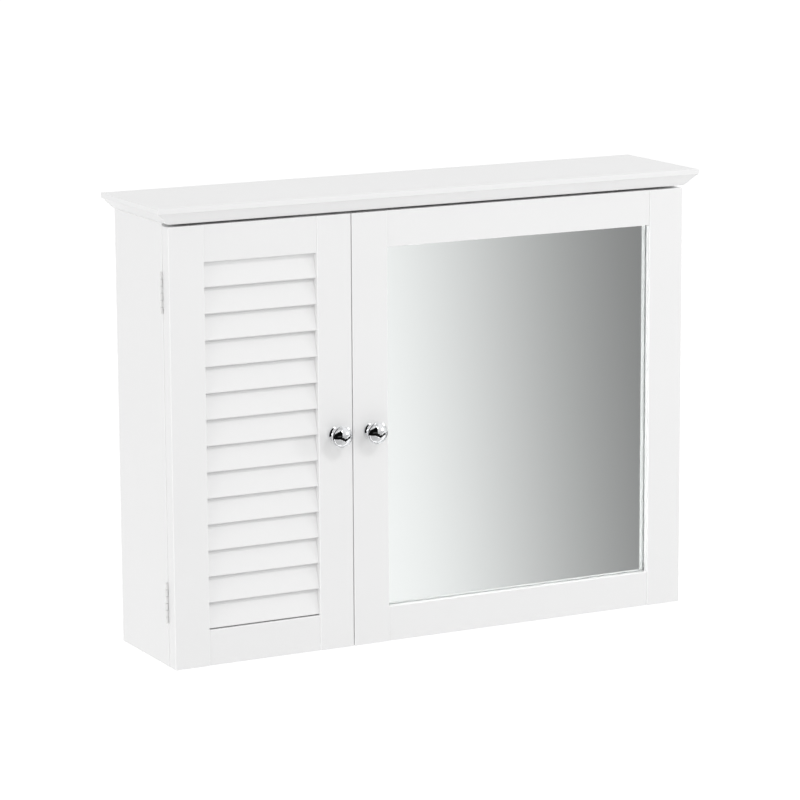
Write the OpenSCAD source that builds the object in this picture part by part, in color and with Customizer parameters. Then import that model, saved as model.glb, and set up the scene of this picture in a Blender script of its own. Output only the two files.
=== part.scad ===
// Bathroom mirror cabinet: a wall cabinet with a louvred door on the left and a mirror door on the right.
// Seen from the front, +X is to the right, the wall is the plane y = 0 and the doors face -Y.
// The origin is midway between the two wall screws, on the wall.

/* [Cabinet] */
// Width across the outer faces of the side panels
cabinet_w = 620; // [600:1:660]
// Depth from the wall to the front face of the doors
cabinet_d = 140; // [135:1:160]
// Height of the doors
door_h = 470; // [465:1:480]
// Width of the louvred door
louvre_door_w = 210; // [205:1:220]
// Gap between the top of the doors and the cornice
top_gap = 3; // [2:0.5:4]
// Gap between the two doors
meeting_gap = 1; // [1:0.5:3]
// Thickness of the carcass boards
panel_t = 15; // [15:0.5:16]
// Thickness of the back panel
back_t = 3; // [3:0.5:4]
// Height of the hanging rail
hanging_rail_h = 60; // [56:1:70]

/* [Cornice] */
// Width of the cornice board
cornice_w = 650; // [640:1:690]
// Depth of the cornice board from the wall
cornice_d = 150; // [145:1:175]
// Thickness of the cornice board
cornice_t = 18; // [18:0.5:24]
// Height of the flat band above the ogee
fillet_h = 5.5; // [4:0.5:8]
// How far the lower edge of the ogee stands in front of the doors
ogee_foot = 1; // [0:0.5:2]

/* [Doors] */
// Thickness of the door frames
door_t = 16; // [16:0.5:18]
// Width of the stiles of the louvred door
louvre_stile_w = 40; // [38:1:44]
// Width of the stiles of the mirror door
mirror_stile_w = 42; // [40:1:46]
// Height of the rails of both doors
rail_h = 39; // [37:1:42]
// How far the rails lie behind the front of the stiles
rail_setback = 1; // [0.4:0.1:1.2]
// Width of a slat
slat_w = 32; // [31:0.5:33]
// Thickness of a slat
slat_t = 4.5; // [4:0.5:5]
// Tilt of a slat from the vertical, in degrees
slat_tilt = 14.5; // [13:0.5:15]
// How far the lower edge of a slat lies behind the front of the door
slat_recess = 2; // [1.5:0.5:2]
// How far a slat is let into each stile
slat_housing = 5; // [4:0.5:6]

/* [Mirror] */
// Thickness of the mirror glass
glass_t = 3; // [3:0.5:4]
// Thickness of the frame in front of the glass
lip_t = 7; // [6:0.5:8]
// Width of the rebate behind the frame's lip
rebate_w = 8; // [7:0.5:9]

/* [Fittings] */
// Height of a hinge
hinge_h = 44; // [40:1:50]
// Distance from the door's end to the middle of a hinge
hinge_inset = 70; // [65:1:80]
// Radius of the hinge knuckles
knuckle_r = 1.7; // [1.6:0.05:1.8]
// Radius of the hinge pins
pin_r = 0.9; // [0.8:0.05:1]
// Radius of the knob's rim
knob_r = 12; // [11.5:0.5:13]
// Distance between the two wall screws
wall_screw_spacing = 500; // [480:1:500]
// Radius of the holes for the wall screws
wall_hole_r = 2.75; // [2.5:0.05:3]

/* [Shelves] */
// Thickness of the shelves
shelf_t = 12; // [12:1:15]
// Height of the lower shelf's underside above the cabinet's bottom
lower_shelf_h = 160; // [150:1:170]
// Height of the upper shelf's underside above the cabinet's bottom
upper_shelf_h = 316; // [305:1:325]

/* [Hidden] */
slat_count = 14;
function slat_name(i) = str("slat_", i < 10 ? "0" : "", i);
$fn = 48;

paint = [0.94, 0.94, 0.94];
bare_board = [0.8, 0.74, 0.62];
steel = [0.72, 0.73, 0.75];
chrome = [0.85, 0.86, 0.88];
mirror_silver = [0.75, 0.8, 0.82];
plastic = [0.9, 0.9, 0.88];
dark_steel = [0.4, 0.4, 0.42];

// Row directions
right = [1, 0, 0];
back = [0, 1, 0];
up = [0, 0, 1];

// Amount by which a cutting shape runs past a face
past = 1;

// Rounding of a board's edges, and of the ends of a rail where it meets a stile
outer_edge_r = 1;
rail_end_r = 0.2;

// Heights, from the wall screws at z = 0
carcass_h = door_h + top_gap;
cornice_z = hanging_rail_h / 2;
bottom_z = cornice_z - carcass_h;
door_top_z = bottom_z + door_h;
floor_z = bottom_z + panel_t;

// Depths, from the wall at y = 0
door_gap = 1;
door_front_y = -cabinet_d;
door_back_y = door_front_y + door_t;
carcass_front_y = door_back_y + door_gap;
rail_front_y = -back_t - panel_t;

// Widths
side_x = cabinet_w / 2;
inner_x = side_x - panel_t;
meeting_x = -side_x + louvre_door_w + meeting_gap / 2;
partition_x0 = meeting_x - panel_t / 2;
partition_x1 = meeting_x + panel_t / 2;

// Doors: edges of each door and of its opening
louvre_door_x1 = -side_x + louvre_door_w;
mirror_door_x0 = louvre_door_x1 + meeting_gap;
louvre_x0 = -side_x + louvre_stile_w;
louvre_x1 = louvre_door_x1 - louvre_stile_w;
mirror_x0 = mirror_door_x0 + mirror_stile_w;
mirror_x1 = side_x - mirror_stile_w;
opening_z0 = bottom_z + rail_h;
opening_z1 = door_top_z - rail_h;

// Stub tenons on the ends of the rails
tenon_l = 12;
tenon_t = 6;
tenon_h = 15;
tenon_shoulder = 8;
tenon_y = door_front_y + (door_t - tenon_t) / 2;

// Rebate for the back panel in the side and bottom panels
back_rebate_w = 8;
panel_pin_inset = 4;

// Ogee of the cornice: ogee_straight is the share of a straight slope in it, the rest is a smooth S
ogee_steps = 16;
ogee_h = cornice_t - fillet_h;
ogee_straight = 0.55;
fillet_edge_r = 0.8;

// Slats
slat_pitch = (opening_z1 - opening_z0) / slat_count;
slat_edge_r = 1.2;
slat_lift = 1.5;

// Hinges: the knuckles stand beside the side panels, and the leaves lie in the gap behind the doors
hinge_x = side_x + 1.5;
hinge_y = (door_back_y + carcass_front_y) / 2;
hinge_levels = [bottom_z + hinge_inset, door_top_z - hinge_inset];
knuckle_count = 6;
knuckle_gap = 0.5;
knuckle_pitch = hinge_h / knuckle_count;
pin_clearance = 0.05;
pin_recess = 0.6;
leaf_t = 0.8;
leaf_let_in = 0.5;
leaf_reach = 13;
leaf_end_x = side_x - 0.5;
leaf_near = door_gap / 2 + leaf_let_in - leaf_t;
leaf_screw_x = side_x - 6.5;
leaf_screw_dz = 13;

// Small screws
screw_r = 1.4;
screw_l = 12;
countersunk_head_r = 2.7;
countersunk_head_h = 1.4;
pan_head_r = 2.7;
pan_head_h = 1.2;

// Cross recess of a screw, as shares of its head's radius and height. Only the screws themselves have it:
// a module that makes them sets $crossed, and the holes cut with the same shapes stay plain.
$crossed = false;
cross_l_share = 1.1;
cross_w_share = 0.3;
cross_depth_share = 0.75;

// Knobs and the screws that hold them
knob_z = bottom_z + door_h / 2;
louvre_knob_x = louvre_door_x1 - louvre_stile_w / 2;
mirror_knob_x = mirror_door_x0 + mirror_stile_w / 2;
knob_base_r = 8;
knob_base_h = 1.6;
knob_neck_r = 5;
knob_neck_z = 7.6;
knob_neck_curve = 6.2;
knob_rim_z = 15.6;
knob_rim_curve = 1.6;
knob_dome_r = 10.6;
knob_dome_h = 5;
knob_screw_r = 2;
knob_screw_head_r = 4;
knob_screw_head_h = 2;
knob_screw_bite = 9;
knob_hole_r = 2.2;

// Cam locks with their bolts, and dowels
cam_r = 7.4;
cam_h = 12;
cam_bore_r = 7.5;
cam_bore_depth = 12.5;
cam_inset = 24;
cam_slot_w = 1.4;
cam_slot_l = 8;
cam_slot_depth = 2;
bolt_bore_r = 3.5;
bolt_thread_r = 2.45;
bolt_thread_hole_r = 2.5;
bolt_thread_l = 10;
bolt_neck_r = 1.6;
bolt_head_r = 3.3;
bolt_head_past = 3;
bolt_head_h = 4;
cam_rows = [-30, -95];
dowel_r = 3.95;
dowel_l = 19;
dowel_hole_r = 4;
dowel_hole_l = 20;
dowel_row = -62;
partition_cam_row = -62;
partition_dowel_row = -95;
rail_dowel_z = -20;

// Shelves and their pins
shelf_side_gap = 0.5;
shelf_back_gap = 1;
shelf_setback = 10;
shelf_levels = [bottom_z + lower_shelf_h, bottom_z + upper_shelf_h];
shelf_pin_r = 2.45;
shelf_pin_reach = 8;
shelf_hole_r = 2.5;
shelf_hole_depth = 6.5;
shelf_pin_rows = [-30, -95];
shelf_hole_step = 32;

// Magnetic catches under the cornice board, and the strike plates they hold
catch_offset = 37;
catch_w = 44;
catch_block_w = 26;
catch_h = 14.5;
catch_ear_t = 3;
catch_d = 13;
catch_screw_dx = 17.5;
magnet_w = 18;
magnet_d = 9;
magnet_z0 = 2.5;
magnet_h = 7;
magnet_gap = 0.3;
magnet_reach = 0.6;
strike_t = 1;
strike_w = 32;
strike_h = 11;
strike_screw_dx = 11;
catch_z0 = cornice_z - catch_h;
strike_z = catch_z0 + strike_h / 2;
pole_y = door_back_y + strike_t + magnet_gap;
catch_y = pole_y + magnet_reach;
catch_xs = [meeting_x - catch_offset, meeting_x + catch_offset];

// Door pads, on the half of the partition's edge that each door covers
pad_r = 2.8;
pad_t = 0.7;
pad_inset = 25;

// Mirror, its backing and the clips that hold them
glass_slack = 1;
clip_w = 12;
clip_l = 16;
clip_t = 0.8;
clip_overlap = 5;
clip_screw_inset = 4.5;
clip_levels = [bottom_z + 110, bottom_z + 360];
clip_columns = [20, 190];

// Countersinks of the wall screw holes, and the pins of the back panel
wall_sink_r = 5.5;
panel_pin_r = 0.7;
panel_pin_head_r = 1.7;
panel_pin_head_h = 0.6;
panel_pin_l = 15;
panel_pin_levels = [60, 180, 290, 395];
panel_pin_columns = [-200, 60, 200];

// Turn that takes +Z to a row direction
function turn(along) =
    along.x != 0 ? [0, 90 * along.x, 0] :
    along.y != 0 ? [-90 * along.y, 0, 0] :
    along.z > 0 ? [0, 0, 0] : [180, 0, 0];

// Points of an arc
function arc(centre, r, from, to, steps) =
    [for (i = [0:steps]) let (a = from + (to - from) * i / steps) centre + r * [cos(a), sin(a)]];

// Mirror image of a list of points about the vertical axis, in reverse order
function mirrored(points) = [for (i = [len(points) - 1:-1:0]) [-points[i].x, points[i].y]];

// Square-edged block between two corners
module block(low, high) {
    translate(low) cube(high - low);
}

// Cylinder from a point along a row direction
module rod(from, along, length, r) {
    translate(from) rotate(turn(along)) cylinder(h = length, r = r);
}

// Turned shape on a point, its axis along a row direction
module turned(from, along, outline) {
    translate(from) rotate(turn(along)) rotate_extrude() polygon(outline);
}

// Puts a shape drawn for the right side on either side
module on_side(side) {
    mirror([side < 0 ? 1 : 0, 0, 0]) children();
}

// What is taken off a corner to round it
module corner_waste(corner, inward, r) {
    centre = corner + r * inward;
    half = (r + past) / 2;
    difference() {
        translate(centre - half * inward) square(2 * half, center = true);
        translate(centre) circle(r);
    }
}

// Rectangle with rounded corners, given from the low corner anticlockwise
module eased_rectangle(w, d, radii) {
    corners = [[0, 0], [w, 0], [w, d], [0, d]];
    inward = [[1, 1], [-1, 1], [-1, -1], [1, -1]];
    difference() {
        square([w, d]);
        for (i = [0:3]) corner_waste(corners[i], inward[i], radii[i]);
    }
}

// Board between two corners, with rounded edges. Its left and right ends can have a radius of their own.
module board(low, high, end_r = outer_edge_r) {
    size = high - low;
    ends = [end_r, end_r, end_r, end_r];
    lengthwise = [outer_edge_r, outer_edge_r, outer_edge_r, outer_edge_r];
    translate(low) intersection() {
        linear_extrude(size.z) eased_rectangle(size.x, size.y, ends);
        translate([0, size.y, 0]) rotate([90, 0, 0]) linear_extrude(size.y)
            eased_rectangle(size.x, size.z, ends);
        rotate([90, 0, 90]) linear_extrude(size.x) eased_rectangle(size.y, size.z, lengthwise);
    }
}

// Cross cut into a face for a screwdriver, from a point on the face and along a row direction
module cross_recess(from, along, length, width, depth) {
    translate(from) rotate(turn(along)) for (angle = [0, 90]) rotate(angle)
        cube([length, width, 2 * depth], center = true);
}

module screw_cross(from, along, head_r, head_h) {
    if ($crossed)
        cross_recess(from, along, cross_l_share * head_r, cross_w_share * head_r, cross_depth_share * head_h);
}

// Countersunk screw, its head flush with the point that it is driven from
module countersunk_screw(from, along) difference() {
    turned(from, along, [
        [0, 0], [countersunk_head_r, 0], [screw_r, countersunk_head_h],
        [screw_r, screw_l - screw_r], [0, screw_l]
    ]);
    screw_cross(from, along, countersunk_head_r, countersunk_head_h);
}

// Pan-headed screw, its head standing on the point that it is driven from
module pan_screw(from, along, length = screw_l, r = screw_r, head_r = pan_head_r, head_h = pan_head_h) {
    difference() {
        turned(from, along, concat(
            [[0, -head_h]],
            arc([head_r - head_h / 2, -head_h / 2], head_h / 2, -90, 0, 4),
            [[head_r, 0], [r, 0], [r, length - r / 2], [r / 2, length], [0, length]]
        ));
        screw_cross(from - head_h * along, along, head_r, head_h);
    }
}

// Cam joint as [where the bolt crosses from one board to the other, towards the cam, the way the cam goes in]
function side_top_cams(side) =
    [for (y = cam_rows) [[side * (side_x - panel_t / 2), y, cornice_z], -up, side * right]];
function side_bottom_cams(side) =
    [for (y = cam_rows) [[side * inner_x, y, bottom_z + panel_t / 2], -side * right, up]];
function rail_cam(side) = [[side * inner_x, -back_t - panel_t / 2, 0], -side * right, back];
partition_top_cam = [[meeting_x, partition_cam_row, cornice_z], -up, right];
partition_bottom_cam = [[meeting_x, partition_cam_row, floor_z], up, right];
cam_joints = concat(
    side_top_cams(-1), side_top_cams(1), side_bottom_cams(-1), side_bottom_cams(1),
    [rail_cam(-1), rail_cam(1), partition_top_cam, partition_bottom_cam]
);

// Dowel as [its middle, its direction]
function side_top_dowel(side) = [[side * (side_x - panel_t / 2), dowel_row, cornice_z], up];
function side_bottom_dowel(side) = [[side * inner_x, dowel_row, bottom_z + panel_t / 2], right];
function rail_dowel(side) = [[side * inner_x, -back_t - panel_t / 2, rail_dowel_z], right];
partition_top_dowel = [[meeting_x, partition_dowel_row, cornice_z], up];
partition_bottom_dowel = [[meeting_x, partition_dowel_row, floor_z], up];
dowel_joints = [
    side_top_dowel(-1), side_top_dowel(1), side_bottom_dowel(-1), side_bottom_dowel(1),
    rail_dowel(-1), rail_dowel(1), partition_top_dowel, partition_bottom_dowel
];

function cam_centre(joint) = joint[0] + cam_inset * joint[1];
function cam_face(joint) = cam_centre(joint) + (cam_bore_depth - panel_t / 2 - cam_h) * joint[2];

// Holes in the board that takes the cam
module cam_holes(joints) {
    for (joint = joints) {
        rod(cam_centre(joint) - (panel_t / 2 + past) * joint[2], joint[2], cam_bore_depth + past, cam_bore_r);
        rod(joint[0] - past * joint[1], joint[1], cam_inset + past, bolt_bore_r);
    }
}

// Holes in the board that takes the bolt's thread
module bolt_holes(joints) {
    for (joint = joints) rod(joint[0] + past * joint[1], -joint[1], bolt_thread_l + past, bolt_thread_hole_r);
}

module dowel_holes(joints) {
    for (joint = joints) rod(joint[0] - dowel_hole_l / 2 * joint[1], joint[1], dowel_hole_l, dowel_hole_r);
}

// Holes for the shelf pins in one face of an upright
module shelf_holes(face_x, into) {
    for (level = shelf_levels, y = shelf_pin_rows, step = [-1:1])
        rod([face_x - past * into, y, level - shelf_pin_r + step * shelf_hole_step], into * right,
            shelf_hole_depth + past, shelf_hole_r);
}

// Screws of the hinge leaves on one side, into the carcass (+1) or into the door (-1)
module leaf_screws(side, into) {
    for (level = hinge_levels, dz = [-leaf_screw_dz, leaf_screw_dz])
        countersunk_screw([side * leaf_screw_x, hinge_y + into * leaf_near, level + dz], into * back);
}

// Front face of the hinge leaves on the carcass (+1) or on the door (-1)
function leaf_y(into) = hinge_y + min(into * leaf_near, into * (leaf_near + leaf_t));

// Shallow recesses that the leaves on one side are let into
module leaf_recesses(side, into) {
    y0 = leaf_y(into);
    on_side(side) for (level = hinge_levels)
        block(
            [side_x - leaf_reach, y0, level - hinge_h / 2],
            [side_x + past, y0 + leaf_t, level + hinge_h / 2]
        );
}

module back_panel_block() {
    edge_x = inner_x + back_rebate_w;
    block([-edge_x, -back_t, floor_z - back_rebate_w], [edge_x, 0, cornice_z]);
}

module back_panel_pins() color(steel) {
    outline = [
        [0, 0], [panel_pin_head_r, 0], [panel_pin_head_r, panel_pin_head_h], [panel_pin_r, panel_pin_head_h],
        [panel_pin_r, panel_pin_l - panel_pin_r], [0, panel_pin_l]
    ];
    for (x = [-inner_x - panel_pin_inset, meeting_x, inner_x + panel_pin_inset], level = panel_pin_levels)
        turned([x, 0, bottom_z + level], -back, outline);
    for (x = panel_pin_columns) turned([x, 0, floor_z - panel_pin_inset], -back, outline);
}

// Rise of the ogee above its foot, from its reach; both run from 0 to 1
function ogee_rise(u) = ogee_straight * u + (1 - ogee_straight) * (3 - 2 * u) * u * u;

// Edge of the cornice from its foot up: ogee, fillet and eased top edge
function cornice_edge(foot, reach) = concat(
    [for (i = [0:ogee_steps]) let (u = i / ogee_steps) [foot + reach * u, ogee_h * ogee_rise(u)]],
    arc([foot + reach - fillet_edge_r, cornice_t - fillet_edge_r], fillet_edge_r, 0, 90, 5)
);

module top_board() color(paint) {
    side_edge = cornice_edge(side_x, cornice_w / 2 - side_x);
    front_edge = cornice_edge(cabinet_d + ogee_foot, cornice_d - cabinet_d - ogee_foot);
    difference() {
        translate([0, 0, cornice_z]) intersection() {
            rotate([90, 0, 0]) linear_extrude(cornice_d) polygon(concat(side_edge, mirrored(side_edge)));
            translate([-cornice_w / 2, 0, 0]) rotate([90, 0, 90]) linear_extrude(cornice_w)
                polygon(concat([[0, 0]], [for (p = front_edge) [-p.x, p.y]], [[0, cornice_t]]));
        }
        bolt_holes(concat(side_top_cams(-1), side_top_cams(1), [partition_top_cam]));
        dowel_holes([side_top_dowel(-1), side_top_dowel(1), partition_top_dowel]);
        catch_screws();
    }
}

module side_panel(side) color(paint) difference() {
    on_side(side) board([inner_x, carcass_front_y, bottom_z], [side_x, 0, cornice_z]);
    back_panel_block();
    cam_holes(side_top_cams(side));
    bolt_holes(concat(side_bottom_cams(side), [rail_cam(side)]));
    dowel_holes([side_top_dowel(side), side_bottom_dowel(side), rail_dowel(side)]);
    shelf_holes(side * inner_x, side);
    leaf_recesses(side, 1);
    leaf_screws(side, 1);
    back_panel_pins();
}

module bottom_panel() color(paint) difference() {
    board([-inner_x, carcass_front_y, bottom_z], [inner_x, 0, floor_z]);
    back_panel_block();
    cam_holes(concat(side_bottom_cams(-1), side_bottom_cams(1)));
    bolt_holes([partition_bottom_cam]);
    dowel_holes([side_bottom_dowel(-1), side_bottom_dowel(1), partition_bottom_dowel]);
    back_panel_pins();
}

module partition() color(paint) difference() {
    board([partition_x0, carcass_front_y, floor_z], [partition_x1, -back_t, cornice_z]);
    block([partition_x0 - past, rail_front_y, -cornice_z], [partition_x1 + past, 0, cornice_z + past]);
    cam_holes([partition_top_cam, partition_bottom_cam]);
    dowel_holes([partition_top_dowel, partition_bottom_dowel]);
    shelf_holes(partition_x0, 1);
    shelf_holes(partition_x1, -1);
    back_panel_pins();
}

module back_panel() color(bare_board) difference() {
    back_panel_block();
    wall_screw_holes();
    back_panel_pins();
}

module hanging_rail() color(paint) difference() {
    board([-inner_x, rail_front_y, -cornice_z], [inner_x, -back_t, cornice_z]);
    wall_screw_holes();
    cam_holes([rail_cam(-1), rail_cam(1)]);
    dowel_holes([rail_dowel(-1), rail_dowel(1)]);
}

// Holes for the wall screws through the hanging rail and the back panel, countersunk in the rail
module wall_screw_holes() {
    for (side = [-1, 1]) {
        rod([side * wall_screw_spacing / 2, past, 0], -back, panel_t + back_t + 2 * past, wall_hole_r);
        turned([side * wall_screw_spacing / 2, rail_front_y, 0], back, [
            [0, -past], [wall_sink_r, -past], [wall_sink_r, 0],
            [wall_hole_r, wall_sink_r - wall_hole_r], [0, wall_sink_r - wall_hole_r]
        ]);
    }
}

module shelf(x0, x1, level) color(paint) {
    board(
        [x0 + shelf_side_gap, carcass_front_y + shelf_setback, level],
        [x1 - shelf_side_gap, -back_t - shelf_back_gap, level + shelf_t]
    );
}

module shelf_pins() color(steel) {
    faces = [[-inner_x, -1], [partition_x0, 1], [partition_x1, -1], [inner_x, 1]];
    for (face = faces, level = shelf_levels, y = shelf_pin_rows)
        rod([face[0] - face[1] * shelf_pin_reach, y, level - shelf_pin_r], face[1] * right,
            shelf_pin_reach + shelf_hole_depth, shelf_pin_r);
}

module cam_locks() color(dark_steel) {
    for (joint = cam_joints) difference() {
        rod(cam_face(joint), joint[2], cam_h, cam_r);
        rod(cam_centre(joint) + (bolt_head_past + past) * joint[1], -joint[1],
            cam_r + bolt_head_past + 2 * past, bolt_bore_r);
        cross_recess(cam_face(joint), joint[2], cam_slot_l, cam_slot_w, cam_slot_depth);
    }
}

module cam_bolts() color(steel) {
    neck = cam_inset + bolt_head_past - bolt_head_h;
    outline = [
        [0, -bolt_thread_l], [bolt_thread_r, -bolt_thread_l], [bolt_thread_r, neck - bolt_head_h],
        [bolt_neck_r, neck - bolt_head_h], [bolt_neck_r, neck], [bolt_head_r, neck],
        [bolt_head_r, neck + bolt_head_h], [0, neck + bolt_head_h]
    ];
    for (joint = cam_joints) turned(joint[0], joint[1], outline);
}

module dowels() color(bare_board) {
    for (joint = dowel_joints) rod(joint[0] - dowel_l / 2 * joint[1], joint[1], dowel_l, dowel_r);
}

// Space of the magnet with its two poles, in the front of a catch
module magnet_block(x) {
    block(
        [x - magnet_w / 2, pole_y, catch_z0 + magnet_z0],
        [x + magnet_w / 2, pole_y + magnet_d, catch_z0 + magnet_z0 + magnet_h]
    );
}

// Block under the cornice board as deep as a catch
module catch_block(x, width, height) {
    block([x - width / 2, catch_y, cornice_z - height], [x + width / 2, catch_y + catch_d, cornice_z]);
}

module magnetic_catches() color(plastic) {
    for (x = catch_xs) difference() {
        union() {
            catch_block(x, catch_block_w, catch_h);
            catch_block(x, catch_w, catch_ear_t);
        }
        magnet_block(x);
        catch_screws();
    }
}

module catch_magnets() color(dark_steel) {
    for (x = catch_xs) magnet_block(x);
}

// Screws that hold the catches, driven upwards through their ears into the cornice board
module catch_screws() {
    for (x = catch_xs, side = [-1, 1])
        pan_screw([x + side * catch_screw_dx, catch_y + catch_d / 2, cornice_z - catch_ear_t], up);
}

module carcass_screws() color(steel) {
    $crossed = true;
    leaf_screws(-1, 1);
    leaf_screws(1, 1);
    catch_screws();
}

// Hinge leaves on one side, on the carcass (+1) or on the door (-1), with every second knuckle
module hinge_leaves(side, into) color(paint) difference() {
    first = into > 0 ? 0 : 1;
    y0 = leaf_y(into);
    on_side(side) for (level = hinge_levels) difference() {
        base = level - hinge_h / 2;
        union() {
            block([side_x - leaf_reach, y0, base], [leaf_end_x, y0 + leaf_t, base + hinge_h]);
            for (i = [first:2:knuckle_count - 1]) {
                z0 = base + i * knuckle_pitch + knuckle_gap / 2;
                z1 = base + (i + 1) * knuckle_pitch - knuckle_gap / 2;
                block([leaf_end_x - past, y0, z0], [hinge_x, y0 + leaf_t, z1]);
                rod([hinge_x, hinge_y, z0], up, z1 - z0, knuckle_r);
            }
        }
        rod([hinge_x, hinge_y, base - past], up, hinge_h + 2 * past, pin_r + pin_clearance);
    }
    leaf_screws(side, into);
}

module hinge_pins() color(steel) {
    for (side = [-1, 1], level = hinge_levels)
        rod([side * hinge_x, hinge_y, level - hinge_h / 2 + pin_recess], up, hinge_h - 2 * pin_recess, pin_r);
}

// Stub tenons of a door's rails, as bars that run through both rails' lengths and into the stiles
module tenons(x0, x1) {
    for (z = [bottom_z + tenon_shoulder, door_top_z - tenon_shoulder - tenon_h])
        block([x0 - tenon_l, tenon_y, z], [x1 + tenon_l, tenon_y + tenon_t, z + tenon_h]);
}

// Upright of a door's frame between two places along X
module stile(x0, x1) {
    board([x0, door_front_y, bottom_z], [x1, door_back_y, door_top_z]);
}

// Rail of a door's frame with its stub tenons
module rail(x0, x1, z0) {
    board([x0, door_front_y + rail_setback, z0], [x1, door_back_y, z0 + rail_h], rail_end_r);
    intersection() {
        tenons(x0, x1);
        block([x0 - tenon_l, door_front_y, z0], [x1 + tenon_l, door_back_y, z0 + rail_h]);
    }
}

// One slat, numbered from the bottom, with its ends let into the stiles
module slat_block(i) {
    foot_z = opening_z0 + slat_lift + (i - 1) * slat_pitch;
    length = louvre_x1 - louvre_x0 + 2 * slat_housing;
    translate([louvre_x0 - slat_housing, door_front_y + slat_recess, foot_z])
        rotate([90, 0, 90]) linear_extrude(length) rotate(-slat_tilt)
            eased_rectangle(slat_t, slat_w, [slat_edge_r, slat_edge_r, slat_edge_r, slat_edge_r]);
}

module slat(i) color(paint) {
    slat_block(i);
}

module louvre_stile_hinge() color(paint) difference() {
    stile(-side_x, louvre_x0);
    tenons(louvre_x0, louvre_x1);
    for (i = [1:slat_count]) slat_block(i);
    leaf_recesses(-1, -1);
    leaf_screws(-1, -1);
}

module louvre_stile_knob() color(paint) difference() {
    stile(louvre_x1, louvre_door_x1);
    tenons(louvre_x0, louvre_x1);
    for (i = [1:slat_count]) slat_block(i);
    knob_hole(louvre_knob_x);
    strike_screws(catch_xs[0]);
}

module louvre_rail(z0, slat_index) color(paint) difference() {
    rail(louvre_x0, louvre_x1, z0);
    slat_block(slat_index);
    strike_screws(catch_xs[0]);
}

module louvre_door_hinge_leaves() {
    hinge_leaves(-1, -1);
}

module louvre_door_screws() color(steel) {
    $crossed = true;
    leaf_screws(-1, -1);
    strike_screws(catch_xs[0]);
}

// Radius of the sphere that the knob's dome is part of, and the angle at which the dome starts
dome_curve = (knob_dome_r * knob_dome_r + knob_dome_h * knob_dome_h) / (2 * knob_dome_h);
dome_angle = acos(knob_dome_r / dome_curve);

// Outline of the knob: base, concave neck, rim and domed face
knob_outline = concat(
    [[0, 0], [knob_base_r, 0]],
    arc([knob_base_r - knob_base_h / 2, knob_base_h / 2], knob_base_h / 2, 0, 90, 6),
    arc([knob_neck_r + knob_neck_curve, knob_neck_z], knob_neck_curve, 245, 118, 16),
    arc([knob_r - knob_rim_curve, knob_rim_z], knob_rim_curve, -70, 90, 12),
    arc([0, knob_rim_z + knob_rim_curve + knob_dome_h - dome_curve], dome_curve, dome_angle, 90, 16)
);

module knob(x) color(chrome) difference() {
    turned([x, door_front_y, knob_z], -back, knob_outline);
    rod([x, door_front_y + past, knob_z], -back, knob_screw_bite + 2 * past, knob_screw_r);
}

module knob_screw(x) color(steel) {
    $crossed = true;
    pan_screw([x, door_back_y, knob_z], -back, door_t + knob_screw_bite, knob_screw_r, knob_screw_head_r,
        knob_screw_head_h);
}

module knob_hole(x) {
    rod([x, door_back_y + past, knob_z], -back, door_t + 2 * past, knob_hole_r);
}

module strike_screws(x) {
    for (side = [-1, 1])
        countersunk_screw([x + side * strike_screw_dx, door_back_y + strike_t, strike_z], -back);
}

module strike(x) color(steel) difference() {
    block(
        [x - strike_w / 2, door_back_y, strike_z - strike_h / 2],
        [x + strike_w / 2, door_back_y + strike_t, strike_z + strike_h / 2]
    );
    strike_screws(x);
}

module pads(x) color(plastic) {
    for (z = [bottom_z + pad_inset, door_top_z - pad_inset]) rod([x, door_back_y, z], back, pad_t, pad_r);
}

// Rebate behind the lip of the mirror door's frame
module mirror_rebate() {
    block(
        [mirror_x0 - rebate_w, door_front_y + lip_t, opening_z0 - rebate_w],
        [mirror_x1 + rebate_w, door_back_y + past, opening_z1 + rebate_w]
    );
}

module mirror_stile_knob() color(paint) difference() {
    stile(mirror_door_x0, mirror_x0);
    tenons(mirror_x0, mirror_x1);
    mirror_rebate();
    knob_hole(mirror_knob_x);
    strike_screws(catch_xs[1]);
    clip_screws();
}

module mirror_stile_hinge() color(paint) difference() {
    stile(mirror_x1, side_x);
    tenons(mirror_x0, mirror_x1);
    mirror_rebate();
    leaf_recesses(1, -1);
    leaf_screws(1, -1);
    clip_screws();
}

module mirror_rail(z0) color(paint) difference() {
    rail(mirror_x0, mirror_x1, z0);
    mirror_rebate();
    strike_screws(catch_xs[1]);
    clip_screws();
}

// Slab that lies in the rebate, from one depth behind the frame's front to another
module rebate_slab(depth_0, depth_1) {
    inset = rebate_w - glass_slack;
    block(
        [mirror_x0 - inset, door_front_y + depth_0, opening_z0 - inset],
        [mirror_x1 + inset, door_front_y + depth_1, opening_z1 + inset]
    );
}

module mirror_glass() color(mirror_silver) {
    rebate_slab(lip_t, lip_t + glass_t);
}

module mirror_backing() color(bare_board) {
    rebate_slab(lip_t + glass_t, door_t);
}

// Clip as [its middle on the rebate's edge, away from the mirror]
clips = concat(
    [for (z = clip_levels) [[mirror_x0 - rebate_w, z], [-1, 0]]],
    [for (z = clip_levels) [[mirror_x1 + rebate_w, z], [1, 0]]],
    [for (x = clip_columns) [[x, opening_z0 - rebate_w], [0, -1]]],
    [for (x = clip_columns) [[x, opening_z1 + rebate_w], [0, 1]]]
);

module clip_screws() {
    for (clip = clips) {
        place = clip[0] + (clip_l - clip_overlap - clip_screw_inset) * clip[1];
        pan_screw([place.x, door_back_y + clip_t, place.y], -back);
    }
}

module backing_clips() color(steel) difference() {
    for (clip = clips) {
        middle = clip[0] + (clip_l / 2 - clip_overlap) * clip[1];
        size = clip[1].x != 0 ? [clip_l, clip_w] : [clip_w, clip_l];
        block(
            [middle.x - size.x / 2, door_back_y, middle.y - size.y / 2],
            [middle.x + size.x / 2, door_back_y + clip_t, middle.y + size.y / 2]
        );
    }
    clip_screws();
}

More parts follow.
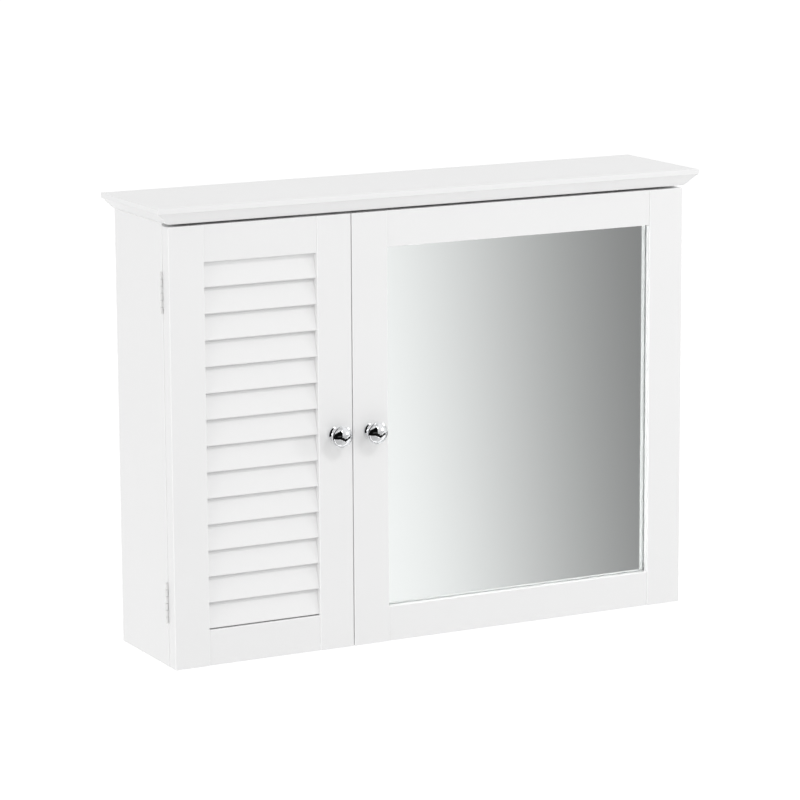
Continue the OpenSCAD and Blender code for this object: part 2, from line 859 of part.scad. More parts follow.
module mirror_door_screws() color(steel) {
    $crossed = true;
    leaf_screws(1, -1);
    strike_screws(catch_xs[1]);
    clip_screws();
}

top_board();
side_panel(-1);  // side_panel_left
side_panel(1);  // side_panel_right
bottom_panel();
partition();
back_panel();
hanging_rail();
shelf(-inner_x, partition_x0, shelf_levels[0]);  // shelf_left_lower
shelf(-inner_x, partition_x0, shelf_levels[1]);  // shelf_left_upper
shelf(partition_x1, inner_x, shelf_levels[0]);  // shelf_right_lower
shelf(partition_x1, inner_x, shelf_levels[1]);  // shelf_right_upper
shelf_pins();
cam_locks();
cam_bolts();
dowels();
back_panel_pins();
magnetic_catches();
catch_magnets();
hinge_leaves(-1, 1);  // carcass_hinge_leaves_left
hinge_leaves(1, 1);  // carcass_hinge_leaves_right
hinge_pins();
carcass_screws();
louvre_stile_hinge();
louvre_stile_knob();
louvre_rail(opening_z1, slat_count);  // louvre_rail_top
louvre_rail(bottom_z, 1);  // louvre_rail_bottom
for (i = [1:slat_count]) slat(i);
hinge_leaves(-1, -1);  // louvre_door_hinge_leaves
louvre_door_screws();
knob(louvre_knob_x);  // louvre_door_knob
knob_screw(louvre_knob_x);  // louvre_knob_screw
strike(catch_xs[0]);  // louvre_door_strike
pads((partition_x0 + louvre_door_x1) / 2);  // louvre_door_pads
mirror_stile_knob();
mirror_stile_hinge();
mirror_rail(opening_z1);  // mirror_rail_top
mirror_rail(bottom_z);  // mirror_rail_bottom
mirror_glass();
mirror_backing();
backing_clips();
hinge_leaves(1, -1);  // mirror_door_hinge_leaves
mirror_door_screws();
knob(mirror_knob_x);  // mirror_door_knob
knob_screw(mirror_knob_x);  // mirror_knob_screw
strike(catch_xs[1]);  // mirror_door_strike
pads((mirror_door_x0 + partition_x1) / 2);  // mirror_door_pads
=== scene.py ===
"""Finishes, stage and camera for the bathroom mirror cabinet. Lengths are in metres, in the cabinet's frame:
+X to the right seen from the front, the wall is the plane y = 0 and the doors face -Y."""

import math

import bmesh
import bpy
from bpy.props import FloatProperty, FloatVectorProperty, PointerProperty
from mathutils import Matrix, Quaternion, Vector


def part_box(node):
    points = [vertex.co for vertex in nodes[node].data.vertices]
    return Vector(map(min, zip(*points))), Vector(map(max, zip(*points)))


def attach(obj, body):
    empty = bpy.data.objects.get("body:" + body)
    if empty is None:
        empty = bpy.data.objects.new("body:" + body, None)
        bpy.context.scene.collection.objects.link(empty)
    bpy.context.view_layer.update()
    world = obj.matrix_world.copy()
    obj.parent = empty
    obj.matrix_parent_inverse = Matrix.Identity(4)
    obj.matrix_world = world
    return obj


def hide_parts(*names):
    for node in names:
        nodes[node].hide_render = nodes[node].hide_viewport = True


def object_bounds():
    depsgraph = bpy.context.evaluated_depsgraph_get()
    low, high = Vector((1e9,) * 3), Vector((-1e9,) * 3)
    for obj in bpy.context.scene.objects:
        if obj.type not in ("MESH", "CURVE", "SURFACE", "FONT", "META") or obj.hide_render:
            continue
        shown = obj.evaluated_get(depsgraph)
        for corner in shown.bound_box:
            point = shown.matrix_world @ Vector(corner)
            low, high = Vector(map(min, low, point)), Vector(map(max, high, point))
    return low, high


bl_info = {
    "name": "Bathroom mirror cabinet",
    "version": (1, 0),
    "blender": (4, 5, 0),
    "location": "View3D > Sidebar > Cabinet",
    "description": "Paints, glazes and lights the mirror cabinet",
    "category": "Object",
}

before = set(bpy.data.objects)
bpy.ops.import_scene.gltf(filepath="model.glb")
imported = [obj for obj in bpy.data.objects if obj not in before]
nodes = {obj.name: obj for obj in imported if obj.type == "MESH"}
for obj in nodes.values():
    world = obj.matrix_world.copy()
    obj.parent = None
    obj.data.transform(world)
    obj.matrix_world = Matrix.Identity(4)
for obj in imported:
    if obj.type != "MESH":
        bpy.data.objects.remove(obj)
cad_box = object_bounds()

# Nodes by what they are made of
DOOR_BOARDS = [
    "louvre_stile_hinge", "louvre_stile_knob", "louvre_rail_top", "louvre_rail_bottom",
    "mirror_stile_knob", "mirror_stile_hinge", "mirror_rail_top", "mirror_rail_bottom",
]
CARCASS_BOARDS = [
    "side_panel_left", "side_panel_right", "bottom_panel", "partition", "hanging_rail",
    "shelf_left_lower", "shelf_left_upper", "shelf_right_lower", "shelf_right_upper",
]
MOULDINGS = ["top_board", *(f"slat_{number:02d}" for number in range(1, 15))]
KNOBS = ["louvre_door_knob", "mirror_door_knob"]
HINGE_LEAVES = [
    "carcass_hinge_leaves_left", "carcass_hinge_leaves_right", "louvre_door_hinge_leaves",
    "mirror_door_hinge_leaves",
]
SCREWS = [
    "carcass_screws", "louvre_door_screws", "mirror_door_screws", "louvre_knob_screw", "mirror_knob_screw",
    "cam_bolts", "back_panel_pins", "shelf_pins", "hinge_pins",
]
PLATES = ["louvre_door_strike", "mirror_door_strike", "backing_clips"]
PADS = ["louvre_door_pads", "mirror_door_pads"]

# Millimetres in a metre, for patterns whose size reads better in millimetres
MM_PER_M = 1000
# Spacing of the nodes in the node editor
NODE_STEP = 220
# Share of a normal that lies along one axis: more than FLAT on a board's face, less than TURNED on an edge
FLAT, TURNED = 0.99, 0.88
# Thickness of the white foil on the back panel
FOIL = 0.0001
# Lowest Y of the normal of the mirror's silvered face, which leaves out the arris round it
FACES_WALL = 0.9
# Half the width of the stage's floor
FLOOR_HALF = 40
# Width of the camera's sensor in millimetres, and how far it sees, which is past the floor's corners
SENSOR_WIDTH = 36
CLIP_END = 100


def linear(code):
    """Turns an sRGB hex code such as F2F2F0 into Blender's linear colour."""
    made = []
    for start in (0, 2, 4):
        value = int(code[start:start + 2], 16) / 255
        made.append(value / 12.92 if value <= 0.04045 else ((value + 0.055) / 1.055) ** 2.4)
    return (*made, 1.0)


def grey(tone):
    """Linear grey that is that share of white."""
    return (tone, tone, tone, 1.0)


def add_node(tree, kind, inputs=None, **settings):
    """Adds a node, sets it up and links it: inputs takes plain values and other nodes' sockets."""
    made = tree.nodes.new(kind)
    made.location = (NODE_STEP * len(tree.nodes), 0)
    for name, value in settings.items():
        setattr(made, name, value)
    for name, value in (inputs or {}).items():
        if isinstance(value, bpy.types.NodeSocket):
            tree.links.new(value, made.inputs[name])
        else:
            made.inputs[name].default_value = value
    return made


def calculate(tree, operation, *values):
    """One step of arithmetic on plain values and sockets."""
    return add_node(tree, "ShaderNodeMath", dict(enumerate(values)), operation=operation).outputs[0]


def map_range(tree, value, start, end, low=0.0, high=1.0):
    """Runs from low to high as value runs from start to end."""
    return add_node(
        tree, "ShaderNodeMapRange",
        {"Value": value, "From Min": start, "From Max": end, "To Min": low, "To Max": high},
    ).outputs["Result"]


def mix(tree, factor, first, second):
    """The first colour where factor is 0, and the second where it is 1."""
    return add_node(
        tree, "ShaderNodeMix", {"Factor": factor, "A": first, "B": second}, data_type="RGBA"
    ).outputs["Result"]


def noise(tree, place, size_mm, detail, roughness=0.5, distortion=0.0):
    """Noise from 0 to 1, with features that many millimetres across."""
    return add_node(
        tree, "ShaderNodeTexNoise",
        {
            "Vector": place, "Scale": MM_PER_M / size_mm, "Detail": detail, "Roughness": roughness,
            "Distortion": distortion,
        },
    ).outputs["Fac"]


def relief(tree, height, strength, depth_mm):
    """Normals of a surface raised by height."""
    return add_node(
        tree, "ShaderNodeBump",
        {"Height": height, "Strength": strength, "Distance": depth_mm / MM_PER_M},
    ).outputs["Normal"]


def piece_place(tree):
    """Place on the piece itself, which doesn't change when the piece moves."""
    return add_node(tree, "ShaderNodeTexCoord").outputs["Object"]


def new_material(name):
    """An empty material and its node tree."""
    material = bpy.data.materials.new(name)
    material.use_nodes = True
    material.node_tree.nodes.clear()
    return material, material.node_tree


def set_surface(tree, kind, inputs):
    """Closes a material with one shader node."""
    shader = add_node(tree, kind, inputs)
    add_node(tree, "ShaderNodeOutputMaterial", {"Surface": shader.outputs[0]})


def finish_nodes(names, material):
    """Gives CAD nodes a material in place of the plain one they came with."""
    for name in names:
        piece = nodes[name]
        for place in piece.material_slots:
            place.material = material


def edge_highlight_mask(tree, normal):
    """0 on a board's flat faces, rising to 1 where its surface turns, as on an eased edge. It masks the
    painted highlight on the eased edges.
    """
    turned = add_node(tree, "ShaderNodeVectorMath", {0: normal}, operation="ABSOLUTE")
    parts = add_node(tree, "ShaderNodeSeparateXYZ", {0: turned.outputs["Vector"]}).outputs
    across = calculate(tree, "MAXIMUM", parts["X"], parts["Y"])
    return map_range(tree, calculate(tree, "MAXIMUM", across, parts["Z"]), FLAT, TURNED)


def satin_lacquer(name, painted_edge_highlight):
    """Satin white lacquer sprayed on fibreboard: a near-white with a soft sheen, faint orange peel in
    the reflections and barely any drift of tone over a board. On eased edges a clearer white is painted
    in as a painted highlight, where the rounded edges would catch the light."""
    sizes = bpy.context.scene.cabinet_paint
    material, tree = new_material(name)
    coordinates = add_node(tree, "ShaderNodeTexCoord").outputs
    place = coordinates["Object"]
    drift = noise(tree, place, size_mm=140, detail=2.0)
    colour = mix(tree, drift, (*sizes.colour, 1.0), (*sizes.shade_colour, 1.0))
    # Painted highlight: a clearer white laid on the eased edges
    if painted_edge_highlight:
        colour = mix(tree, edge_highlight_mask(tree, coordinates["Normal"]), colour, (*sizes.edge_highlight_colour, 1.0))
    sheen = noise(tree, place, size_mm=22, detail=3.0)
    shinier, duller = sizes.roughness - 0.04, sizes.roughness + 0.05
    # A hundredth of a millimetre deep, as the strength takes two thirds off
    peel = noise(tree, place, sizes.peel_mm, detail=2.0, roughness=0.4)
    set_surface(tree, "ShaderNodeBsdfPrincipled", {
        "Base Color": colour, "IOR": 1.49, "Roughness": map_range(tree, sheen, 0, 1, shinier, duller),
        "Normal": relief(tree, peel, strength=0.35, depth_mm=0.03),
    })
    return material


class CabinetPaint(bpy.types.PropertyGroup):
    """The white paint"""

    colour: FloatVectorProperty(
        name="White", description="Colour of the lacquer", subtype="COLOR", size=3, min=0, max=1,
        default=linear("F1F1F1")[:3],
    )
    shade_colour: FloatVectorProperty(
        name="Drift", description="Second tone that the lacquer drifts to", subtype="COLOR", size=3,
        min=0, max=1, default=linear("EEEEEE")[:3],
    )
    # Colour of the painted highlight on the eased edges
    edge_highlight_colour: FloatVectorProperty(
        name="Edges", description="Tone of the lacquer on the eased edges", subtype="COLOR", size=3,
        min=0, max=1, default=linear("FBFBFB")[:3],
    )
    roughness: FloatProperty(
        name="Roughness", description="Roughness of the satin sheen", default=0.32, min=0.1, max=0.9
    )
    peel_mm: FloatProperty(
        name="Orange peel", description="Size of the spray's orange peel in millimetres", default=2.0,
        min=0.5, max=6,
    )


class CABINET_OT_painted_boards(bpy.types.Operator):
    """Paint the carcass, the shelves, the door frames and the slats"""

    bl_idname = "cabinet.painted_boards"
    bl_label = "Paint the boards"

    def execute(self, context):
        # The moulding and the tilted slats lie off the axes all over, so they go without the painted edge
        # highlight
        boards = satin_lacquer("satin_lacquer", True)
        mouldings = satin_lacquer("satin_lacquer_on_mouldings", False)
        finish_nodes(CARCASS_BOARDS + DOOR_BOARDS, boards)
        finish_nodes(MOULDINGS, mouldings)
        return {"FINISHED"}


class CABINET_OT_bare_boards(bpy.types.Operator):
    """Finish the back panel, the mirror's backing and the dowels"""

    bl_idname = "cabinet.bare_boards"
    bl_label = "Finish the bare boards"

    def execute(self, context):
        finish_nodes(["mirror_backing", "dowels"], self.hardboard("hardboard", None))
        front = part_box("back_panel")[0].y
        finish_nodes(["back_panel"], self.hardboard("white_faced_hardboard", front))
        return {"FINISHED"}

    def hardboard(self, name, white_front):
        """Hardboard, brown all over or with a white foil on the face at white_front. Pressed fibres mottle
        its brown and roughen it, and the tone drifts slowly."""
        material, tree = new_material(name)
        place = piece_place(tree)
        fibre = noise(tree, place, size_mm=1.5, detail=6.0, roughness=0.7, distortion=0.6)
        drift = noise(tree, place, size_mm=30, detail=3.0)
        tone = mix(tree, fibre, linear("8A6C4B"), linear("B6946A"))
        colour = mix(tree, drift, tone, linear("A5835B"))
        if white_front is not None:
            depth = add_node(tree, "ShaderNodeSeparateXYZ", {0: place}).outputs["Y"]
            faced = calculate(tree, "LESS_THAN", depth, white_front + FOIL)
            colour = mix(tree, faced, colour, linear("EDEDEC"))
        set_surface(tree, "ShaderNodeBsdfPrincipled", {
            "Base Color": colour, "Roughness": 0.7, "IOR": 1.45,
            "Normal": relief(tree, fibre, strength=0.5, depth_mm=0.1),
        })
        return material


class CabinetMirror(bpy.types.PropertyGroup):
    """The mirror"""

    glass_tint: FloatVectorProperty(
        name="Glass tint", description="Tint of the float glass", subtype="COLOR", size=3, min=0, max=1,
        default=linear("FAFCFB")[:3],
    )
    silver_colour: FloatVectorProperty(
        name="Silver", description="Colour of the silvering behind the glass", subtype="COLOR", size=3,
        min=0, max=1, default=linear("F7F8F8")[:3],
    )
    arris: FloatProperty(
        name="Arris", description="Width of the ground arris round the glass", unit="LENGTH",
        default=0.0004, min=0.0001, max=0.001,
    )
    slack: FloatProperty(
        name="Slack", description="Gap between the glass and the pieces in front and behind", unit="LENGTH",
        default=0.00005, min=0, max=0.0005,
    )


class CABINET_OT_mirror(bpy.types.Operator):
    """Glaze the mirror door with float glass silvered on its back"""

    bl_idname = "cabinet.mirror"
    bl_label = "Glaze the mirror"

    def execute(self, context):
        sizes = context.scene.cabinet_mirror
        # Float glass: clear with a trace of green, and a faint reflection of its own in front
        glass, tree = new_material("float_glass")
        set_surface(tree, "ShaderNodeBsdfPrincipled", {
            "Base Color": (*sizes.glass_tint, 1.0), "Roughness": 0.0, "IOR": 1.52,
            "Transmission Weight": 1.0,
        })
        # Silvering: a sharp and nearly neutral reflection
        silver, tree = new_material("mirror_silver")
        set_surface(tree, "ShaderNodeBsdfPrincipled", {
            "Base Color": (*sizes.silver_colour, 1.0), "Metallic": 1.0, "Roughness": 0.0,
        })

        low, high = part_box("mirror_glass")
        low.y += sizes.slack
        high.y -= sizes.slack
        shape = bmesh.new()
        middle, size = (low + high) / 2, high - low
        bmesh.ops.create_cube(shape, size=1, matrix=Matrix.Translation(middle) @ Matrix.Diagonal((*size, 1)))
        bmesh.ops.bevel(shape, geom=shape.edges[:], offset=sizes.arris, segments=1, affect="EDGES")
        shape.normal_update()
        # Material 0 is the glass and 1 the silvering
        for face in shape.faces:
            face.material_index = int(face.normal.y > FACES_WALL)
        mesh = bpy.data.meshes.new("mirror_pane")
        shape.to_mesh(mesh)
        shape.free()
        mesh.materials.append(glass)
        mesh.materials.append(silver)
        pane = bpy.data.objects.new("mirror_pane", mesh)
        context.scene.collection.objects.link(pane)
        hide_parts("mirror_glass")
        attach(pane, "mirror_door")
        return {"FINISHED"}


class CABINET_OT_knobs(bpy.types.Operator):
    """Chrome the two knobs"""

    bl_idname = "cabinet.knobs"
    bl_label = "Chrome the knobs"

    def execute(self, context):
        # Chrome plate: a sharp, slightly blue reflection, a little dulled by faint wipe marks
        material, tree = new_material("polished_chrome")
        wipe = noise(tree, piece_place(tree), size_mm=4, detail=4.0, distortion=1.0)
        set_surface(tree, "ShaderNodeBsdfPrincipled", {
            "Base Color": linear("E9EAEC"), "Metallic": 1.0,
            "Roughness": map_range(tree, wipe, 0, 1, low=0.01, high=0.05),
        })
        finish_nodes(KNOBS, material)
        return {"FINISHED"}


class CABINET_OT_steel_fittings(bpy.types.Operator):
    """Plate the screws, pins, clips and strike plates"""

    bl_idname = "cabinet.steel_fittings"
    bl_label = "Plate the steel fittings"

    def execute(self, context):
        # Zinc plate: a crystalline mottle in tone and shine, over a fine grain
        material, tree = new_material("zinc_plated_steel")
        place = piece_place(tree)
        mottle = noise(tree, place, size_mm=1.0, detail=4.0)
        grain = noise(tree, place, size_mm=0.2, detail=2.0)
        set_surface(tree, "ShaderNodeBsdfPrincipled", {
            "Base Color": mix(tree, mottle, linear("C3C6CA"), linear("DADBDC")), "Metallic": 1.0,
            "Roughness": map_range(tree, mottle, 0, 1, low=0.22, high=0.36),
            "Normal": relief(tree, grain, strength=0.3, depth_mm=0.01),
        })
        finish_nodes(SCREWS + PLATES, material)
        return {"FINISHED"}


class CABINET_OT_hinges(bpy.types.Operator):
    """Coat the hinge leaves white"""

    bl_idname = "cabinet.hinges"
    bl_label = "Coat the hinges"

    def execute(self, context):
        # Stoved white coating: a fine flow grain, and a greyer white where it pulls thin
        material, tree = new_material("white_coated_steel")
        grain = noise(tree, piece_place(tree), size_mm=0.8, detail=3.0)
        set_surface(tree, "ShaderNodeBsdfPrincipled", {
            "Base Color": mix(tree, grain, linear("E9E9E8"), linear("F6F6F5")), "Roughness": 0.3, "IOR": 1.5,
            "Normal": relief(tree, grain, strength=0.3, depth_mm=0.03),
        })
        finish_nodes(HINGE_LEAVES, material)
        return {"FINISHED"}


class CABINET_OT_cast_fittings(bpy.types.Operator):
    """Finish the zinc cam locks and the magnets"""

    bl_idname = "cabinet.cast_fittings"
    bl_label = "Finish the cam locks and magnets"

    def execute(self, context):
        # Die-cast zinc: cold-flow clouds in a dull grey, with the tumbled grain in their detail
        material, tree = new_material("die_cast_zinc")
        cloud = noise(tree, piece_place(tree), size_mm=2.0, detail=5.0)
        set_surface(tree, "ShaderNodeBsdfPrincipled", {
            "Base Color": mix(tree, cloud, linear("6F7175"), linear("8C8E92")), "Metallic": 1.0,
            "Roughness": 0.42, "Normal": relief(tree, cloud, strength=0.4, depth_mm=0.04),
        })
        finish_nodes(["cam_locks", "catch_magnets"], material)
        return {"FINISHED"}


class CABINET_OT_plastic_fittings(bpy.types.Operator):
    """Finish the magnetic catches and the soft door pads"""

    bl_idname = "cabinet.plastic_fittings"
    bl_label = "Finish the catches and pads"

    def execute(self, context):
        # Moulded plastic and rubber: an even off-white, broken by the spark-eroded grain of the mould
        for name, code, roughness, names, slot in (
            ("moulded_abs", "E9E9E6", 0.35, ["magnetic_catches"], "plastic"),
            ("soft_elastomer", "DEDEDC", 0.55, PADS, "soft_pad"),
        ):
            material, tree = new_material(name)
            grain = noise(tree, piece_place(tree), size_mm=0.4, detail=3.0)
            set_surface(tree, "ShaderNodeBsdfPrincipled", {
                "Base Color": linear(code), "Roughness": roughness, "IOR": 1.53,
                "Normal": relief(tree, grain, strength=0.3, depth_mm=0.03),
            })
            finish_nodes(names, material)
        return {"FINISHED"}


class CabinetStage(bpy.types.PropertyGroup):
    """Floor and light"""

    floor_drop: FloatProperty(
        name="Floor", description="Height of the wall screws above the floor", unit="LENGTH",
        default=1.65, min=0.5, max=3,
    )
    floor_glow: FloatProperty(
        name="Floor glow", description="White added to the floor where the camera sees it", default=0.4,
        min=0, max=1,
    )
    sky: FloatProperty(
        name="Sky", description="Strength of the light from all round", default=0.755, min=0, max=2
    )
    key_power: FloatProperty(
        name="Key lamp", description="Power of the lamp at the front right", unit="POWER", default=5.8,
        min=0, max=200,
    )
    crown_power: FloatProperty(
        name="Crown lamp", description="Power of the lamp high in front", unit="POWER", default=36,
        min=0, max=200,
    )
    fill_power: FloatProperty(
        name="Fill lamp", description="Power of the lamp at the left", unit="POWER", default=62,
        min=0, max=200,
    )
    low_power: FloatProperty(
        name="Low lamp", description="Power of the lamp below, in front", unit="POWER", default=1,
        min=0, max=200,
    )
    card_distance: FloatProperty(
        name="Mirror card", description="Distance from the doors to the card that the mirror shows",
        unit="LENGTH", default=0.8, min=0.6, max=3,
    )


# Lamps: name, setting that holds the power, azimuth and elevation from the cabinet in degrees, distance
# and size in metres. Azimuth 0 is straight in front and 90 is on the right.
LAMPS = [
    ("key_lamp", "key_power", 53, 17, 2.2, 0.5),
    ("crown_lamp", "crown_power", 10, 43, 5.0, 0.9),
    ("fill_lamp", "fill_power", -75, 8, 6.0, 3.0),
    ("low_lamp", "low_power", -5, -45, 1.9, 1.6),
]

# The mirror's card: how strongly its white glows, its tones along X, in metres and as a share of white, how
# far they shift to the left for each metre up, and the height of its top. Much of the light that a mirror
# throws on the lips round it is lost on its way through the glass, so for that light the card is a plain
# white, LIP_LIGHT times as bright.
CARD_STRENGTH = 1.113
CARD_TONES = [
    (-2.0, 1.0), (-0.6, 0.467), (-0.1, 0.617), (0.2, 0.997), (0.35, 0.882), (0.47, 0.64), (0.59, 0.402),
    (0.71, 0.243), (0.85, 0.15), (1.2, 0.317), (2.0, 1.0),
]
CARD_LEAN = 0.14
CARD_TOP = 0.4
LIP_LIGHT = 5

# Cards round the knobs, painted reflections that only metal shows: name, share of white, distance, and
# corners as azimuth and elevation from the left knob
KNOB_CARDS = [
    (
        "black_flag", 0.004, 3.4,
        [(-75, -21), (-20, -24), (2, -14), (5, 12), (11, 50), (-6, 51), (-24, 46), (-44, 38), (-62, 28),
         (-75, 16)],
    ),
    ("grey_streak", 0.09, 2.3, [(-40, -3), (-22, -2), (-3, 2), (-3, 7), (-22, 7), (-38, 4)]),
    (
        "black_arm", 0.006, 2.0,
        [(-22, -22), (-8, -4), (4, -6), (19, -11), (25.5, -20.3), (41, -18.7), (50, -20), (54, -40),
         (40, -42), (20, -38), (0, -32)],
    ),
    (
        "black_hook", 0.02, 2.0,
        [(50, -20), (58, -11), (70, -8), (100, -9), (100, -17), (74, -21), (60, -31), (54, -40)],
    ),
    ("grey_floor", 0.62, 1.5, [(-70, -22), (-20, -26), (0, -34), (12, -38), (12, -75), (-70, -75)]),
    ("pale_floor", 0.74, 1.5, [(12, -38), (40, -44), (56, -43), (72, -38), (84, -75), (12, -75)]),
    (
        "grey_side", 0.6, 3.4,
        [(4, -22), (46, -22), (48, -6), (60, -4), (66, 2), (60, 9), (24, 8), (6, 10)],
    ),
    ("pale_side", 0.82, 3.4, [(8, 10), (24, 8), (34, 9), (34, 30), (28, 50), (16, 50)]),
    (
        "pale_roof", 0.66, 3.4,
        [(-80, 26), (-62, 36), (-46, 43), (-44, 56), (20, 57), (60, 60), (60, 80), (-70, 80)],
    ),
]


def seen_white(tree):
    """1 for the rays that show a background: straight from the camera, or by way of metal or glass."""
    path = add_node(tree, "ShaderNodeLightPath").outputs
    first = calculate(tree, "MAXIMUM", path["Is Camera Ray"], path["Is Glossy Ray"])
    return calculate(tree, "MAXIMUM", first, path["Is Transmission Ray"])


def towards(azimuth, elevation):
    """Unit direction from the cabinet, both angles in radians."""
    return Vector((
        math.sin(azimuth) * math.cos(elevation), -math.cos(azimuth) * math.cos(elevation),
        math.sin(elevation),
    ))


def add_stage_mesh(name, corners, material):
    """A stage piece of one face between its corners."""
    mesh = bpy.data.meshes.new(name)
    mesh.from_pydata(corners, [], [range(len(corners))])
    mesh.materials.append(material)
    made = bpy.data.objects.new(name, mesh)
    bpy.context.scene.collection.objects.link(made)
    return made


def show_only_in(card, reflection):
    """Leaves a card to be seen only in metal, or only in the mirror, and keeps it out of the light."""
    card.visible_camera = card.visible_diffuse = card.visible_volume_scatter = card.visible_shadow = False
    card.visible_glossy = reflection == "metal"
    card.visible_transmission = reflection == "mirror"


def glowing(name, tone):
    """A plain card material that glows at a share of white."""
    material, tree = new_material(name)
    set_surface(tree, "ShaderNodeEmission", {"Color": grey(tone)})
    return material


def shaded_card():
    """Card for the mirror's painted reflection: it runs from white to grey along X, and gets darker towards
    the top.
    """
    material, tree = new_material("shaded_card")
    parts = add_node(tree, "ShaderNodeSeparateXYZ", {0: piece_place(tree)}).outputs
    across = calculate(tree, "MULTIPLY_ADD", parts["Z"], CARD_LEAN, parts["X"])
    low, high = CARD_TONES[0][0], CARD_TONES[-1][0]
    ramp = add_node(tree, "ShaderNodeValToRGB", {"Fac": map_range(tree, across, low, high)})
    ramp.color_ramp.interpolation = "B_SPLINE"
    stops = ramp.color_ramp.elements
    while len(stops) < len(CARD_TONES):
        stops.new(1)
    for stop, (x, tone) in zip(stops, CARD_TONES):
        stop.position = (x - low) / (high - low)
        stop.color = grey(tone)
    thrown = add_node(tree, "ShaderNodeLightPath").outputs["Diffuse Depth"]
    colour = mix(tree, thrown, ramp.outputs["Color"], grey(LIP_LIGHT))
    set_surface(tree, "ShaderNodeEmission", {"Color": colour, "Strength": CARD_STRENGTH})
    return material


class CABINET_OT_stage(bpy.types.Operator):
    """Set up the floor, the sky, the lamps and the cards"""

    bl_idname = "cabinet.stage"
    bl_label = "Set up the stage"

    def execute(self, context):
        sizes = context.scene.cabinet_stage
        context.scene.view_settings.view_transform = "Standard"
        self.add_sky(context.scene, sizes)
        self.add_floor(sizes)
        self.add_lamps(context.scene, sizes)
        self.add_cards(sizes)
        return {"FINISHED"}

    def add_sky(self, scene, sizes):
        world = bpy.data.worlds.new("white_studio")
        world.use_nodes = True
        scene.world = world
        tree = world.node_tree
        tree.nodes.clear()
        strength = map_range(tree, seen_white(tree), 0, 1, low=sizes.sky, high=1)
        sky = add_node(tree, "ShaderNodeBackground", {"Color": grey(1), "Strength": strength})
        add_node(tree, "ShaderNodeOutputWorld", {"Surface": sky.outputs["Background"]})

    def add_floor(self, sizes):
        material, tree = new_material("studio_floor")
        pale = add_node(tree, "ShaderNodeBsdfDiffuse", {"Color": linear("F4F4F4")})
        strength = calculate(tree, "MULTIPLY", seen_white(tree), sizes.floor_glow)
        lift = add_node(tree, "ShaderNodeEmission", {"Color": grey(1), "Strength": strength})
        set_surface(tree, "ShaderNodeAddShader", {0: pale.outputs["BSDF"], 1: lift.outputs["Emission"]})
        half, z = FLOOR_HALF, -sizes.floor_drop
        add_stage_mesh(
            "floor", [(-half, -half, z), (half, -half, z), (half, half, z), (-half, half, z)], material
        )

    def add_lamps(self, scene, sizes):
        middle = (cad_box[0] + cad_box[1]) / 2
        for name, power, azimuth, elevation, distance, size in LAMPS:
            lamp = bpy.data.lights.new(name, "AREA")
            lamp.shape = "DISK"
            lamp.size = size
            lamp.energy = getattr(sizes, power)
            made = bpy.data.objects.new(name, lamp)
            back = towards(math.radians(azimuth), math.radians(elevation))
            made.location = middle + back * distance
            made.rotation_euler = (-back).to_track_quat("-Z", "Y").to_euler()
            scene.collection.objects.link(made)

    def add_cards(self, sizes):
        y = cad_box[0].y - sizes.card_distance
        left, right, low, high = CARD_TONES[0][0], CARD_TONES[-1][0], -sizes.floor_drop, CARD_TOP
        # The mirror's card is a painted reflection, seen only through the mirror's glass; its brighter white
        # for diffuse bounces paints light on the lips
        card = add_stage_mesh(
            "mirror_card", [(left, y, low), (right, y, low), (right, y, high), (left, y, high)],
            shaded_card(),
        )
        show_only_in(card, "mirror")

        knob_low, knob_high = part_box("louvre_door_knob")
        knob = (knob_low + knob_high) / 2
        # Painted reflections round the knob, seen only in metal
        for name, tone, distance, corners in KNOB_CARDS:
            places = [
                knob + towards(math.radians(azimuth), math.radians(elevation)) * distance
                for azimuth, elevation in corners
            ]
            show_only_in(add_stage_mesh(name, places, glowing(name, tone)), "metal")


class CabinetCamera(bpy.types.PropertyGroup):
    """The photograph's camera"""

    azimuth: FloatProperty(
        name="Azimuth", description="Angle of the camera from straight in front", subtype="ANGLE",
        default=math.radians(-27.47),
    )
    elevation: FloatProperty(
        name="Elevation", description="Angle of the camera above level", subtype="ANGLE",
        default=math.radians(11.03),
    )
    roll: FloatProperty(
        name="Roll", description="Turn of the camera about its own line of sight", subtype="ANGLE",
        default=math.radians(-0.31),
    )
    distance: FloatProperty(
        name="Distance", description="Distance from the camera to its target", unit="LENGTH",
        default=3.922, min=0.5, max=20,
    )
    target: FloatVectorProperty(
        name="Target", description="Point that the camera looks at", subtype="TRANSLATION",
        default=(-0.0065, -0.07, -0.1936),
    )
    lens: FloatProperty(
        name="Lens", description="Focal length in millimetres on a 36 mm wide sensor", default=161.6,
        min=20, max=400,
    )


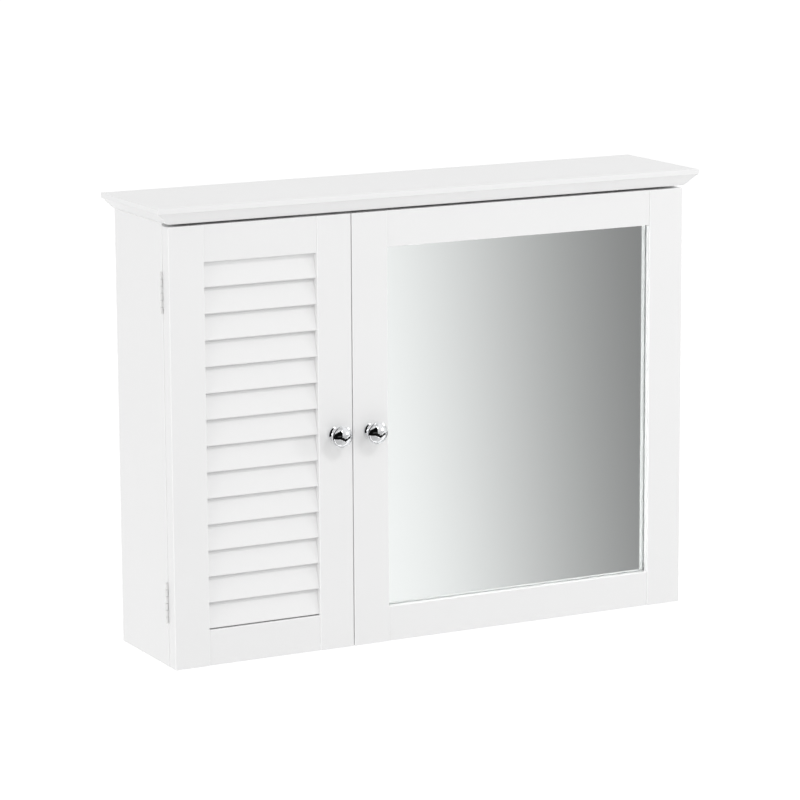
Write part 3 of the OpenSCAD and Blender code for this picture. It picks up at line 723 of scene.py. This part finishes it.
class CABINET_OT_camera(bpy.types.Operator):
    """Place the camera at the photograph's viewing angle"""

    bl_idname = "cabinet.camera"
    bl_label = "Place the camera"

    def execute(self, context):
        sizes = context.scene.cabinet_camera
        lens = bpy.data.cameras.new("camera")
        lens.sensor_width = SENSOR_WIDTH
        lens.lens = sizes.lens
        lens.clip_end = CLIP_END
        camera = bpy.data.objects.new("camera", lens)
        back = towards(sizes.azimuth, sizes.elevation)
        camera.location = Vector(sizes.target) + back * sizes.distance
        looking = (-back).to_track_quat("-Z", "Y") @ Quaternion((0, 0, 1), sizes.roll)
        camera.rotation_euler = looking.to_euler()
        context.scene.collection.objects.link(camera)
        context.scene.camera = camera
        return {"FINISHED"}


OPERATORS = [
    CABINET_OT_painted_boards, CABINET_OT_bare_boards, CABINET_OT_mirror, CABINET_OT_knobs,
    CABINET_OT_steel_fittings, CABINET_OT_hinges, CABINET_OT_cast_fittings, CABINET_OT_plastic_fittings,
    CABINET_OT_stage, CABINET_OT_camera,
]
GROUPS = {
    "cabinet_paint": CabinetPaint, "cabinet_mirror": CabinetMirror, "cabinet_stage": CabinetStage,
    "cabinet_camera": CabinetCamera,
}


class CABINET_PT_panel(bpy.types.Panel):
    """Lists the settings and the steps"""

    bl_label = "Mirror cabinet"
    bl_idname = "CABINET_PT_panel"
    bl_space_type = "VIEW_3D"
    bl_region_type = "UI"
    bl_category = "Cabinet"

    def draw(self, context):
        for name, group in GROUPS.items():
            box = self.layout.box()
            box.label(text=group.__doc__)
            for field in group.__annotations__:
                box.prop(getattr(context.scene, name), field)
        for operator in OPERATORS:
            self.layout.operator(operator.bl_idname)


def register():
    for made in (*GROUPS.values(), *OPERATORS, CABINET_PT_panel):
        bpy.utils.register_class(made)
    for name, group in GROUPS.items():
        setattr(bpy.types.Scene, name, PointerProperty(type=group))


def unregister():
    for name in GROUPS:
        delattr(bpy.types.Scene, name)
    for made in reversed((*GROUPS.values(), *OPERATORS, CABINET_PT_panel)):
        bpy.utils.unregister_class(made)


def main():
    register()
    for operator in OPERATORS:
        step = operator.bl_idname.split(".")[1]
        getattr(bpy.ops.cabinet, step)()


if __name__ == "__main__":
    main()
